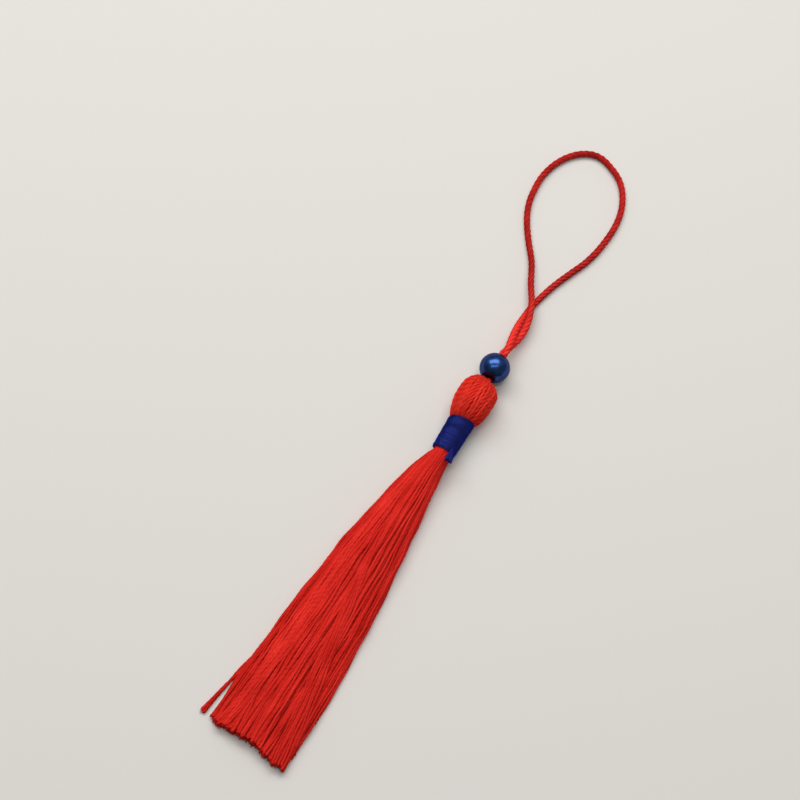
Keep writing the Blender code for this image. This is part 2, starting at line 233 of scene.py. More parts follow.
def wave(tree, u, v, round_u, along_v, waver):
    """cos(2 pi * (round_u * u + along_v * v)) moved by waver, as a node's output from 0 to 1."""
    round_part = joined(tree, "MULTIPLY", u, round_u)
    along_part = joined(tree, "MULTIPLY", v, along_v)
    phase = joined(tree, "MULTIPLY", joined(tree, "ADD", round_part, along_part), 2 * math.pi)
    phase = joined(tree, "ADD", phase, waver)
    return joined(tree, "MULTIPLY_ADD", joined(tree, "COSINE", phase), 0.5, 0.5)


def new_material(name):
    """A new material, its node tree and its Principled shader."""
    material = bpy.data.materials.new(name)
    material.use_nodes = True
    return material, material.node_tree, material.node_tree.nodes["Principled BSDF"]


def noise(tree, place, scale, detail):
    """Smooth noise over the object, with scale waves to the metre and detail finer layers added, as a
    node's output from 0 to 1."""
    texture = tree.nodes.new("ShaderNodeTexNoise")
    texture.inputs["Scale"].default_value = scale
    texture.inputs["Detail"].default_value = detail
    tree.links.new(place.outputs["Object"], texture.inputs["Vector"])
    return texture.outputs["Fac"]


def coloured(tree, shader, share, deep, bright):
    """Gives the shader a colour that goes straight from deep to bright as share grows. Each of the two
    is a pair: the share where the colour is reached, and the colour."""
    ramp = tree.nodes.new("ShaderNodeValToRGB")
    for element, (position, colour) in zip(ramp.color_ramp.elements, (deep, bright)):
        element.position = position
        element.color = (*colour, 1.0)
    tree.links.new(share, ramp.inputs["Fac"])
    tree.links.new(ramp.outputs["Color"], shader.inputs["Base Color"])


def raised(tree, shader, height, strength, relief):
    """Gives the shader a relief of height * relief, in millimetres, of which strength is the share that
    shows."""
    bump = tree.nodes.new("ShaderNodeBump")
    bump.inputs["Strength"].default_value = strength
    bump.inputs["Distance"].default_value = relief * MM
    tree.links.new(height, bump.inputs["Height"])
    tree.links.new(bump.outputs["Normal"], shader.inputs["Normal"])


RIDGE_SHARE = 0.72


def yarn_finish(name, bright, deep, ridges, fibres, roughness, relief, gloss, contrast, shine=0.22):
    """Silk with its plies and fibres drawn along the UV map.

    ridges is (times round, turns per millimetre) of the plies' ridges and fibres the same for the fine
    fibres. The height is the ridge share * the ridges + the rest * the fibres. The colour goes from deep
    in the grooves to bright on the ridges, a painted shade in the grooves, with 0.275 + contrast *
    (height - 0.5) + 0.45 * a slow noise + the yarn's shade attribute, which holds its random tone and,
    on some pieces, painted light and shade. Silk shines in its own colour: shine is the share of the
    light that it throws back like metal, and gloss the colour of that at the edges.
    """
    material, tree, shader = new_material(name)
    place = tree.nodes.new("ShaderNodeTexCoord")
    split = tree.nodes.new("ShaderNodeSeparateXYZ")
    tree.links.new(place.outputs["UV"], split.inputs[0])
    u, v = split.outputs[0], split.outputs[1]
    slow = noise(tree, place, 220.0, 3.0)
    waver = joined(tree, "MULTIPLY", noise(tree, place, 2600.0, 2.0), 5.0)
    ridge = joined(tree, "MULTIPLY", wave(tree, u, v, *ridges, 0.0), RIDGE_SHARE)
    fibre = wave(tree, u, v, *fibres, waver)
    height = joined(tree, "ADD", ridge, joined(tree, "MULTIPLY", fibre, 1 - RIDGE_SHARE))
    shade = tree.nodes.new("ShaderNodeAttribute")
    shade.attribute_name = "shade"
    tint = joined(tree, "MULTIPLY_ADD", height, contrast, 0.275 - 0.5 * contrast)
    tint = joined(tree, "ADD", tint, joined(tree, "MULTIPLY", slow, 0.45))
    tint = joined(tree, "ADD", tint, shade.outputs["Fac"])
    coloured(tree, shader, tint, (0.15, deep), (0.75, bright))
    raised(tree, shader, height, 0.6, relief)
    dull = joined(tree, "MULTIPLY_ADD", fibre, -0.12, roughness + 0.06)
    tree.links.new(dull, shader.inputs["Roughness"])
    shader.inputs["Specular IOR Level"].default_value = 0.0
    shader.inputs["Metallic"].default_value = shine
    shader.inputs["Specular Tint"].default_value = (*gloss, 1.0)
    return material


cord_line = smooth_route(np.vstack([pair_leg(1), LOOP_ROUTE, pair_leg(-1)[::-1]]), CORD_STEP)
cord_along = np.arange(len(cord_line)) * CORD_STEP
# How thick the cord is, as a share of its plain size: y, share
CORD_SWELL = np.array(
    [(PAIR_BEAD - 0.3, 0.78), (PAIR_BEAD + 0.8, 1.14), (48.0, 1.27), (52.0, 1.20), (57.0, 1.05)]
)
cord_size = np.interp(cord_line[:, 1], CORD_SWELL[:, 0], CORD_SWELL[:, 1])
cord_first, cord_second = crosswise(cord_line, np.array([0.0, 0.0, 1.0]))
PLIES = 3
PLY_OUT = 0.30
PLY_HALF_THICK = 0.31
PLY_HALF_WIDE = 0.35
ply_angle = 2 * math.pi * (cord_along / CORD_LAY + np.arange(PLIES)[:, None] / PLIES)
ply_side = np.cos(ply_angle)[..., None] * cord_first + np.sin(ply_angle)[..., None] * cord_second
ply_line = cord_line + PLY_OUT * cord_size[:, None] * ply_side
round_ply = full_circle(14)
ply_rings = carried(
    ply_line,
    ply_side,
    PLY_HALF_THICK * cord_size[:, None] * np.cos(round_ply),
    PLY_HALF_WIDE * cord_size[:, None] * np.sin(round_ply),
)
SILK_GLOSS = (1.0, 0.34, 0.28)
cord_silk = yarn_finish(
    "red_cord_silk",
    bright=(0.84, 0.0440, 0.0350),
    deep=(0.27, 0.0115, 0.0105),
    ridges=(3, 0.9),
    fibres=(15, 1.3),
    roughness=0.50,
    relief=0.030,
    gloss=SILK_GLOSS,
    contrast=0.32,
)
# How light the cord is painted at these lengths along it, as painted light: lightest where its legs wind
# round each other, and a little lighter on the right of the loop than on its left
CORD_PAINTED_LIGHT_AT = (6.0, 12.0, 19.0, 24.0, 66.0, 72.0, 82.0, 90.0, 98.0, 103.0, 110.0, 116.0)
CORD_PAINTED_LIGHT = (0.30, 0.22, -0.03, -0.15, -0.17, -0.12, -0.12, -0.17, -0.15, -0.03, 0.22, 0.30)
PLY_TONE = np.array([[0.0], [0.03], [-0.03]])
hanging_cord = add_tubes(
    "silk_hanging_cord",
    ply_rings,
    np.broadcast_to(cord_along, ply_line.shape[:2]),
    np.interp(cord_along, CORD_PAINTED_LIGHT_AT, CORD_PAINTED_LIGHT) + PLY_TONE,
    cord_silk,
)
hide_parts("hanging_cord")


# Skirt: the red yarns below the binding, spread flat by their own weight. Each is two plies twisted
# together, as thick as sewing thread. They leave the waist as a round bundle, a few of them fan out to
# the right over the others, and they are cut off at the bottom with a slightly uneven edge.
YARNS = 236
UPPER_YARNS = 60
# The waist's axis, x and z, and its radius
WAIST = (3.45, 2.85, 2.05)
YARN_LAY = 2.3
YARN_START = 22.4
YARN_FILL = 0.82
YARN_FLUFF = 1.23
TABLE_GAP = 0.004
# Outline of the skirt: y, left x, right x, z of the widest line, z of the top
SKIRT_OUTLINE = np.array(
    [
        (21.2, 1.75, 5.40, 2.85, 4.90),
        (19.8, 1.05, 5.40, 2.60, 5.00),
        (16.8, -0.18, 5.55, 1.90, 4.82),
        (10.0, -1.92, 6.40, 1.30, 4.45),
        (-2.0, -4.22, 7.75, 0.80, 3.85),
        (-14.0, -5.75, 8.95, 0.50, 3.35),
        (-28.0, -6.95, 9.62, 0.40, 2.85),
        (-44.3, -7.75, 10.00, 0.30, 2.45),
    ]
)
SKIRT_ROWS = np.array(
    [21.2, 20.5, 19.8, 18.4, 16.8, 13.5, 10.0, 6.0, 2.0, -2.0, -6.0, -10.0, -14.0]
    + [-18.0, -22.5, -28.0, -33.0, -38.0, -41.0, -44.3]
)
# Cut ends of the skirt: x, y
HEM_LINE = np.array(
    [(-7.8, -42.3), (-6.2, -42.9), (2.0, -42.7), (3.2, -43.1), (6.6, -44.0), (9.4, -44.0)]
)
# Gaps between locks of yarn, dark with real shade and with painted shade: place across (-1 left edge,
# 1 right edge) and y where the gap starts, the same where it ends, and its depth
SKIRT_GAPS = np.array(
    [
        (-0.21, 14.0, -0.12, -3.0, 0.50),
        (-0.33, -4.0, -0.45, -32.0, 0.55),
        (0.12, -4.0, 0.20, -26.0, 0.40),
        (0.27, -22.0, 0.33, -39.0, 0.65),
        (0.50, -33.0, 0.53, -44.0, 0.60),
        (0.56, -7.0, 0.60, -14.0, 0.50),
        (0.62, -18.0, 0.72, -36.0, 0.40),
        (0.70, 15.0, 0.78, -16.0, 0.38),
        (0.30, 13.0, 0.27, 4.0, 0.20),
        (-0.68, -30.0, -0.74, -44.0, 0.35),
    ]
)
# Yarns that lie over the others, at these places along the skirt: place across, and how far they are
# lifted out. The fan starts in the middle and runs to the right edge, the side lock goes to the left.
OVER_ROWS = np.array((21.2, 12.0, 5.0, -3.0, -13.0, -20.0, -30.0, -38.0, -44.3))
FAN_YARNS = 7
FAN_PLACES = np.array((-0.04, 0.00, 0.06, 0.16, 0.37, 0.52, 0.72, 0.87, 0.93))
FAN_LIFTS = (-0.50, -0.25, -0.05, 0.04, 0.08, 0.10, 0.10, 0.10, 0.08)
SIDE_YARNS = 5
SIDE_PLACES = np.array((-0.50, -0.50, -0.50, -0.50, -0.50, -0.53, -0.60, -0.72, -0.80))
SIDE_LIFTS = (-0.70, -0.60, -0.50, -0.40, -0.20, -0.05, 0.05, 0.08, 0.08)
SINGLE_YARNS = 16


def outline_at(y):
    """The skirt's left and right edge, the height of its widest line and its top, at a place along it:
    straight lines between the rows of the outline."""
    table = SKIRT_OUTLINE[::-1]
    return np.array([np.interp(y, table[:, 0], table[:, column]) for column in range(1, 5)])


def yarn_spacing(section):
    """Distance between neighbouring yarns: (4 * fill * area / (pi * yarns))^0.5, where the area is the
    section's, which is an ellipse cut off at the table."""
    left, right, middle, top = section
    heights = np.linspace(max(0.0, 2 * middle - top), top, 60)
    chords = (right - left) * np.sqrt(np.clip(1 - ((heights - middle) / (top - middle)) ** 2, 0, None))
    area = chords.mean() * (heights[-1] - heights[0])
    return math.sqrt(YARN_FILL * 4 * area / (math.pi * YARNS))


def gap_lines(y):
    """Where each gap is at y, as a place across on a straight line between its ends, and its depth
    there, which comes in over three millimetres and fades over two."""
    place, start, end_place, end, depth = SKIRT_GAPS.T
    y = np.asarray(y, float)[..., None]
    share = np.clip((start - y) / (start - end), 0, 1)
    live = np.clip((start - y) / 3.0, 0, 1) * np.clip((y - end) / 2.0 + 1, 0, 1)
    return place + (end_place - place) * share, live * depth


PUSH = 0.35
GAP_REACH = 0.50
GAP_PUSH = 0.09
EDGE_INSET = 0.62


def pushed_apart(points, section, spacing, y):
    """One round of settling: yarns closer than spacing are pushed apart, those in a gap between two
    locks are pushed out of it, and all are kept inside the section and above the table."""
    left, right, middle, top = section
    gaps = points[:, None] - points[None]
    distances = np.linalg.norm(gaps, axis=-1) + 2 * spacing * np.eye(len(points))
    push = np.clip(spacing - distances, 0, None) / distances * PUSH
    points = points + (gaps * push[..., None]).sum(axis=1)
    half = (right - left) / 2
    centre = np.array([(left + right) / 2, middle])
    place, depth = gap_lines(y)
    away = points[:, :1] - centre[0] - half * place
    round_top = np.sqrt(np.clip(1 - ((points[:, :1] - centre[0]) / half) ** 2, 0, 1))
    high = top - (top - middle) * (1 - round_top)
    near = np.clip(1 - np.abs(away) / GAP_REACH, 0, 1) * (points[:, 1:] > high - depth)
    points[:, 0] += (np.sign(away) * near * GAP_PUSH).sum(axis=1)
    reach = np.array([half, top - middle]) - EDGE_INSET * spacing
    out = (points - centre) / reach
    points = centre + out / np.maximum(np.linalg.norm(out, axis=1), 1.0)[:, None] * reach
    points[:, 1] = np.maximum(points[:, 1], 0.5 * spacing)
    return points


def evened(rows):
    """Rows in which each but the first and last is half itself and a quarter each of its neighbours."""
    return np.concatenate([rows[:1], 0.25 * rows[:-2] + 0.5 * rows[1:-1] + 0.25 * rows[2:], rows[-1:]])


SETTLE_PARTS = 3
SETTLE_ROUNDS = 26
BUNDLE_SHARE = 0.93


def yarn_places():
    """Each yarn's x and z in every row of the skirt, and the spacing there.

    The yarns start packed in a circle. From row to row the bundle is stretched to the new outline and
    settles again.
    """
    across = np.arange(-20, 21)
    a, b = np.meshgrid(across, across, indexing="ij")
    grid = np.stack([a + 0.5 * (b % 2), b * math.sqrt(3) / 2], axis=-1).reshape(-1, 2)
    order = np.lexsort((np.arctan2(grid[:, 1], grid[:, 0]), np.linalg.norm(grid, axis=1).round(6)))
    grid = grid[order[:YARNS]]
    points = grid / np.linalg.norm(grid, axis=1).max() * BUNDLE_SHARE * WAIST[2] + WAIST[:2]
    old, old_y = outline_at(SKIRT_ROWS[0]), SKIRT_ROWS[0]
    places, spacings = [], []
    for row_y in SKIRT_ROWS:
        for part in range(SETTLE_PARTS):
            y = old_y + (row_y - old_y) * (part + 1) / SETTLE_PARTS
            new = outline_at(y)
            grown = np.array([new[1] - new[0], new[3] - new[2]]) / (old[1] - old[0], old[3] - old[2])
            old_middle = ((old[0] + old[1]) / 2, old[2])
            points = (points - old_middle) * grown + ((new[0] + new[1]) / 2, new[2])
            for _ in range(SETTLE_ROUNDS):
                points = pushed_apart(points, new, yarn_spacing(new), y)
            old = new
        places.append(points)
        spacings.append(yarn_spacing(new))
        old_y = row_y
    return evened(np.array(places)).transpose(1, 0, 2), np.array(spacings)


def at_skirt_rows(table):
    """Values that each yarn has where the yarns on top are given, read at the skirt's rows and evened."""
    return evened(np.stack([np.interp(-SKIRT_ROWS, -OVER_ROWS, line) for line in table], axis=1)).T


def over_places(dice):
    """x and z in every row of the yarns that lie over the others: x = middle + place * half the width,
    and z = the top of the skirt's section there, (1 - place^2)^0.5 of its rise, plus the lift."""
    order = np.arange(FAN_YARNS)[:, None]
    fan = 0.06 - 0.025 * order + (FAN_PLACES - 0.06) * np.exp(-0.045 * order)
    side = SIDE_PLACES + 0.055 * np.arange(SIDE_YARNS)[:, None]
    start = np.linspace(-0.88, 0.84, SINGLE_YARNS) + dice.uniform(-0.05, 0.05, SINGLE_YARNS)
    phase = dice.uniform(0, 2 * math.pi, SINGLE_YARNS)
    single = start[:, None] + 0.05 * np.sin(OVER_ROWS / 9.0 + phase[:, None])
    single_lift = 0.05 * np.sin(OVER_ROWS / 6.0 + phase[:, None]) - 0.03
    place = at_skirt_rows(np.concatenate([fan, side, single]))
    fan_lift = FAN_LIFTS + 0.06 * (order % 2)
    side_lift = np.broadcast_to(SIDE_LIFTS, side.shape)
    single_lift = single_lift - 0.3 * (OVER_ROWS > 15)
    lift = at_skirt_rows(np.concatenate([fan_lift, side_lift, single_lift]))
    left, right, middle, top = outline_at(SKIRT_ROWS)
    x = (left + right) / 2 + place * (right - left) / 2
    return np.stack([x, middle + (top - middle) * np.sqrt(1 - place**2) + lift], axis=-1)


def along_rows(values, ys):
    """Values given at the skirt's rows, read at ys for each yarn: on each span a cubic with the rows'
    own values and slopes at its ends."""
    rows, values = SKIRT_ROWS[::-1], values[:, ::-1]
    slopes = np.gradient(values, rows, axis=1)
    span = np.clip(np.searchsorted(rows, ys, side="right") - 1, 0, len(rows) - 2)
    yarn = np.arange(len(values))[:, None]
    gap = (rows[span + 1] - rows[span])[..., None]
    t = (ys - rows[span])[..., None] / gap
    return (
        (2 * t**3 - 3 * t**2 + 1) * values[yarn, span]
        + (t**3 - 2 * t**2 + t) * gap * slopes[yarn, span]
        + (3 * t**2 - 2 * t**3) * values[yarn, span + 1]
        + (t**3 - t**2) * gap * slopes[yarn, span + 1]
    )


def two_ply(paths, outward, width, flat, sides, along, start):
    """Rings of a two-ply yarn: half the width * (0.94 + 0.06 * cos(2 * (angle - turn))), where turn is
    one full circle for each lay along the yarn. The ring is flat times as wide across as it is thick."""
    angle = full_circle(sides)
    turn = (2 * math.pi * along / YARN_LAY + start[:, None])[..., None]
    reach = 0.5 * width[..., None] * (0.94 + 0.06 * np.cos(2 * (angle - turn)))
    return carried(paths, outward, reach * np.cos(angle), flat * reach * np.sin(angle))


SMOOTH_LOCK = -0.57
SMOOTH_HALF = 0.17


def on_smooth_lock(place):
    """How far a place across lies on the smooth lock: exp(-((place - the lock's middle) / half)^4)."""
    return np.exp(-(((place - SMOOTH_LOCK) / SMOOTH_HALF) ** 4))


# Where the outermost yarns on the right and the two stray ones on the left are cut, and how far the
# stray ones are led out to the left, from one place along the skirt on
EDGE_CUTS = (-41.6, -40.6, -39.6, -33.9, -33.3)
LOWEST_CUT = -44.3
STRAY_CUTS = (-42.5, -42.2)
STRAY_OUT = (1.70, 2.10)
STRAY_START = -27.0
STRAY_LENGTH = 15.3
chance = np.random.default_rng(11)
yarn_at, yarn_gap = yarn_places()
yarn_at = np.concatenate([yarn_at, over_places(chance)])
ALL_YARNS = len(yarn_at)
yarn_last = yarn_at[:, -1]
yarn_cut = np.interp(yarn_last[:, 0], HEM_LINE[:, 0], HEM_LINE[:, 1])
yarn_cut = yarn_cut + 0.16 * np.sin(2.6 * yarn_last[:, 0]) + 0.12 * np.sin(6.1 * yarn_last[:, 0] + 1)
yarn_cut = yarn_cut + 0.05 * (yarn_last[:, 1] - 1.0) + chance.normal(0, 0.13, ALL_YARNS)
yarn_order = np.argsort(yarn_last[:, 0])
yarn_cut[yarn_order[-5:]] = EDGE_CUTS
yarn_cut = np.maximum(yarn_cut, LOWEST_CUT)
stray = yarn_order[np.argsort(yarn_last[yarn_order[:7], 1])[:2]]
yarn_cut[stray] = STRAY_CUTS
stray_out = np.zeros(ALL_YARNS)
stray_out[stray] = STRAY_OUT + (yarn_last[stray, 0] - yarn_last[stray, 0].min())
yarn_phase = chance.uniform(0, 2 * math.pi, (ALL_YARNS, 4))
# How each yarn lies: above is 0 at the skirt's widest line and 1 at its top, beside is -1 at the left edge
# and 1 at the right one, and shown_order starts with the yarns that show most
skirt_left, skirt_right, skirt_middle, skirt_top = outline_at(SKIRT_ROWS)
above = (yarn_at[..., 1] - skirt_middle) / (skirt_top - skirt_middle)
beside = (2 * yarn_at[..., 0] - skirt_left - skirt_right) / (skirt_right - skirt_left)
shown = (np.clip(above, 0, None) ** 2 + beside**2)[:, 5:].mean(axis=1)[:YARNS]
shown_order = np.argsort(-shown)
yarn_side = beside[:, 5:].mean(axis=1)
yarn_merged = on_smooth_lock(yarn_side)
yarn_tilt = np.arctan2(yarn_side, np.clip(above[:, 5:].mean(axis=1), 0.2, 1.0))
yarn_shade = chance.normal(0, 0.05, ALL_YARNS)


def painted_lock_light(x, ys):
    """Painted light and shade on the yarns, as the locks lie higher or deeper: painted shade by the depth
    of each gap * exp(-(distance / 0.5 mm)^2) and along the left edge, a painted highlight on the smooth
    lock, and painted light and shade from two sine waves across the skirt, whose phases drift along it,
    for the smaller locks. On the right, below the binding, all yarns are painted lighter."""
    left, right = outline_at(ys)[:2]
    half = (right - left) / 2
    place = (x - left) / half - 1
    gap_place, depth = gap_lines(ys)
    away = (place[..., None] - gap_place) * half[..., None]
    dark = (depth * np.exp(-((away / 0.5) ** 2))).sum(axis=-1)
    smooth = on_smooth_lock(place) * np.clip((16 - ys) / 6, 0, 1)
    smooth = smooth * np.clip((ys + 34) / 8, 0, 1)
    narrow = np.sin(31 * place + 1.6 * np.sin(ys / 9.0))
    wide = np.sin(19 * place - 1.4 * np.sin(ys / 7.0 + 2) + 1)
    locks = 0.06 * (narrow + wide) * (1 - smooth)
    # Painted light: on the right, below the binding, all yarns are painted lighter
    pale = 0.14 * np.clip((place - 0.1) / 0.5, 0, 1) * np.clip((ys + 8) / 12, 0, 1)
    return 0.15 * smooth + pale + locks - 0.22 * dark - 0.10 * np.clip((-0.80 - place) / 0.15, 0, 1)


def skirt_yarns(name, chosen, stations, sides, material):
    """The chosen yarns as one piece: their packed places along the skirt, moved from side to side by sine
    waves of 17 and 7.3 mm and up and down by one of 11 mm, each two-ply and 1.23 times as wide as the
    spacing, with the stray yarns led out over the table."""
    share = np.linspace(0, 1, stations) ** 0.96
    ys = YARN_START + (yarn_cut[chosen, None] - YARN_START) * share
    inside = np.minimum(ys, SKIRT_ROWS[0])
    at = along_rows(yarn_at[chosen], inside)
    loose = np.clip((20.0 - ys) / 14.0, 0, 1)
    phase = yarn_phase[chosen]
    sway = 0.085 * np.sin(2 * math.pi * ys / 17.0 + phase[:, :1])
    sway = sway + 0.05 * np.sin(2 * math.pi * ys / 7.3 + phase[:, 1:2])
    rise = 0.05 * np.sin(2 * math.pi * ys / 11.0 + phase[:, 2:3])
    led = (stray_out[chosen] > 0)[:, None] * np.clip((STRAY_START - ys) / STRAY_LENGTH, 0, None) ** 0.95
    x = at[..., 0] + sway * loose - stray_out[chosen, None] * led
    width = YARN_FLUFF * np.interp(ys, SKIRT_ROWS[::-1], yarn_gap[::-1])
    width = width * (1 + 0.35 * np.clip(led, 0, 1))
    z = np.maximum(at[..., 1] + rise * loose, 0.5 * width)
    z = np.where(led > 0, np.maximum(0.5 * width, z * (1 - led)), z)
    paths = np.stack([x, ys, z], axis=-1)
    along = YARN_START - ys
    tilt = yarn_tilt[chosen, None] * loose
    outward = np.stack([np.sin(tilt), 0 * tilt, np.cos(tilt)], axis=-1)
    flat = 1.15 + 0.55 * yarn_merged[chosen, None, None]
    rings = two_ply(paths, outward, width, flat, sides, along, phase[:, 3])
    turned = along + YARN_LAY * phase[:, 3:] / (2 * math.pi)
    rings[..., 2] = np.maximum(rings[..., 2], TABLE_GAP)
    # The yarns that lie over the others take less of the painted light and shade of the locks
    lock_share = np.where(chosen < YARNS, 1.0, 0.4)[:, None]
    shade = yarn_shade[chosen, None] + painted_lock_light(x, ys) * lock_share
    piece = add_tubes(name, rings, turned, shade, material)
    return piece


skirt_silk = yarn_finish(
    "red_yarn_silk",
    bright=(0.75, 0.0345, 0.0245),
    deep=(0.37, 0.0060, 0.0035),
    ridges=(2, -2 / YARN_LAY),
    fibres=(11, 1.1),
    roughness=0.50,
    relief=0.006,
    gloss=SILK_GLOSS,
    contrast=0.13,
)
# The yarns that show most have more rings, and more sides, than the others
FINE = {"stations": 178, "sides": 9}
PLAIN = {"stations": 72, "sides": 6}
skirt_yarns("skirt_yarns_upper", shown_order[:UPPER_YARNS], **FINE, material=skirt_silk)
skirt_yarns("skirt_yarns_inner", shown_order[UPPER_YARNS:], **PLAIN, material=skirt_silk)
skirt_yarns("skirt_yarns_over", np.arange(YARNS, ALL_YARNS), **FINE, material=skirt_silk)

# Cut tips of the skirt yarns: where the scissors went through, each yarn opens into a few fine fibres
# that stand out past its end in different directions. Their colour is painted darker, as painted shade.
TIPS = 4
tip_yarn = np.repeat(np.arange(ALL_YARNS), TIPS)
tip_end = along_rows(yarn_at, yarn_cut[:, None])[:, 0]
tip_end[stray, 0] -= stray_out[stray]
tip_end[stray, 1] = 0.2
tip_start = tip_end[tip_yarn] + chance.normal(0, 0.10, (len(tip_yarn), 2))
tip_lean = chance.normal(0, 0.15, (len(tip_yarn), 2))
tip_length = chance.uniform(0.05, 0.50, len(tip_yarn))
tip_share = np.linspace(0, 1, 5)
tip_path = np.stack(
    [
        tip_start[:, :1] + tip_lean[:, :1] * tip_share**1.5,
        yarn_cut[tip_yarn, None] + 0.3 - (0.3 + tip_length[:, None]) * tip_share,
        np.maximum(tip_start[:, 1:] + (tip_lean[:, 1:] - 0.06) * tip_share**1.5, 0.06),
    ],
    axis=-1,
)
tip_round = full_circle(4)
tip_reach = (0.055 * (1 - 0.5 * tip_share))[:, None]
tip_reach = np.broadcast_to(tip_reach, (len(tip_yarn), tip_share.size, tip_round.size))
tip_rings = carried(
    tip_path, np.array([0.0, 0.0, 1.0]), tip_reach * np.cos(tip_round), tip_reach * np.sin(tip_round)
)
tip_silk = yarn_finish(
    "red_cut_fibres",
    bright=(0.72, 0.0320, 0.0240),
    deep=(0.22, 0.0080, 0.0060),
    ridges=(2, 1.0),
    fibres=(5, 1.1),
    roughness=0.60,
    relief=0.005,
    gloss=SILK_GLOSS,
    contrast=0.20,
)
skirt_tips = add_tubes(
    "skirt_cut_tips",
    tip_rings,
    np.broadcast_to(tip_share * 0.5, tip_path.shape[:2]),
    chance.normal(0, 0.25, len(tip_yarn)),
    tip_silk,
)


# Head: above the binding the same yarns fold over the hidden end of the hanging cord, and run side by side
# from the waist to the hole for the cord. They lie a little unevenly, and the head is pressed flat on the
# table.
HEAD_YARNS = 44
CROSSING_YARNS = 9
HEAD_TILT = 0.60
BINDING_FOOT = 21.6
BINDING_HEAD = 29.0
BINDING_SLANT = 0.70
WAIST_CORE = 1.92
WAIST_END = 27.9
# The head from the waist to the hole: y, distance from the middle, x and z of the middle, half a yarn
HEAD_LINE = np.array(
    [
        (28.3, 1.75, 3.45, 2.85, 0.16),
        (28.9, 2.05, 3.45, 2.86, 0.20),
        (29.3, 2.52, 3.45, 2.90, 0.24),
        (29.8, 2.83, 3.45, 3.04, 0.26),
        (30.8, 3.14, 3.44, 3.20, 0.29),
        (32.2, 3.39, 3.42, 3.30, 0.31),
        (34.0, 3.46, 3.41, 3.32, 0.32),
        (35.3, 3.36, 3.42, 3.30, 0.31),
        (36.3, 3.04, 3.43, 3.24, 0.29),
        (37.1, 2.55, 3.44, 3.16, 0.26),
        (37.7, 2.02, 3.45, 3.12, 0.23),
        (37.9, 1.60, 3.45, 3.10, 0.20),
        (37.7, 1.32, 3.45, 3.10, 0.18),
        (37.1, 1.18, 3.45, 3.10, 0.16),
    ]
)


def end_drop(y, angle):
    """How far the head's ends lie nearer to the skirt. The blunt end does so on the right: the tilt *
    (1 + sin(angle)) / 2, which comes in over the last five millimetres with the square of the way. The
    end in the binding does so on the left, as the binding slants: the slant * (1 - sin(angle)) / 2,
    which fades out from the binding in two millimetres."""
    blunt_end = HEAD_TILT * (0.5 + 0.5 * np.sin(angle)) * np.clip((y - 33.0) / 5.0, 0, 1) ** 2
    return blunt_end + BINDING_SLANT * (0.5 - 0.5 * np.sin(angle)) * np.clip((31.0 - y) / 2.0, 0, 1)


def head_yarns(count, lean, wander, lift, seed):
    """Paths, outward directions and widths of yarns that run over the head from the waist to the hole.

    A point is the head's middle + its distance from there * (sin(angle), cos(angle)). The angle grows by
    lean from one end to the other and wanders by a sine wave, and the distance is the head line's, plus
    lift * sin(pi * share of the way), plus a smaller sine wave.
    """
    dice = np.random.default_rng(seed)
    line = smooth_route(HEAD_LINE[:, :3], 0.1)
    steps = np.concatenate([[0], np.cumsum(np.linalg.norm(np.diff(HEAD_LINE[:, :3], axis=0), axis=1))])
    reach = np.linspace(0, steps[-1], len(line))
    height = np.interp(reach, steps, HEAD_LINE[:, 3])
    half = np.interp(reach, steps, HEAD_LINE[:, 4])
    share = reach / reach[-1]
    start = (np.arange(count) + dice.uniform(-0.12, 0.12, count)) * 2 * math.pi / count
    phase = dice.uniform(0, 2 * math.pi, (count, 2))
    angle = start[:, None] + lean * share + wander * np.sin(2 * math.pi * 1.3 * share + phase[:, :1])
    out = line[:, 1] + lift * np.sin(math.pi * share)
    out = out + 0.05 * np.sin(2 * math.pi * 2 * share + phase[:, 1:])
    outward = np.stack([np.sin(angle), np.zeros_like(angle), np.cos(angle)], axis=-1)
    ys = line[:, 0] - end_drop(line[:, 0], angle)
    paths = np.stack([line[:, 2] + out * outward[..., 0], ys, height + out * outward[..., 2]], axis=-1)
    return paths, outward, np.broadcast_to(half, angle.shape), reach, phase[:, 0]


def head_piece(name, material, count, lean, wander, lift, seed):
    """Yarns of the head as one piece, nowhere below the table. Each is a two-ply yarn: half its width *
    (0.89 + 0.11 * cos(2 * (angle - turn))), made 0.80 times as thick and 1.08 times as wide."""
    paths, outward, half, reach, start = head_yarns(count, lean, wander, lift, seed)
    angle = full_circle(10)
    along = np.broadcast_to(reach, half.shape)
    turn = (2 * math.pi * along / YARN_LAY + start[:, None])[..., None]
    lobes = half[..., None] * (0.89 + 0.11 * np.cos(2 * (angle - turn)))
    rings = carried(paths, outward, 0.80 * lobes * np.cos(angle), 1.08 * lobes * np.sin(angle))
    rings[..., 2] = np.maximum(rings[..., 2], TABLE_GAP)
    shade = np.random.default_rng(seed + 1).normal(0, 0.08, count)
    piece = add_tubes(name, rings, along + YARN_LAY * start[:, None] / (2 * math.pi), shade, material)
    return piece


head_silk = yarn_finish(
    "red_head_silk",
    bright=(0.765, 0.0415, 0.0265),
    deep=(0.44, 0.0110, 0.0060),
    ridges=(2, -2 / YARN_LAY),
    fibres=(9, 0.8),
    roughness=0.52,
    relief=0.020,
    gloss=SILK_GLOSS,
    contrast=0.50,
)
head_outer = head_piece(
    "head_yarns_outer", head_silk, HEAD_YARNS, lean=0.10, wander=0.045, lift=0.0, seed=3
)
head_piece(
    "head_yarns_crossing", head_silk, CROSSING_YARNS, lean=0.32, wander=0.09, lift=0.11, seed=5
)

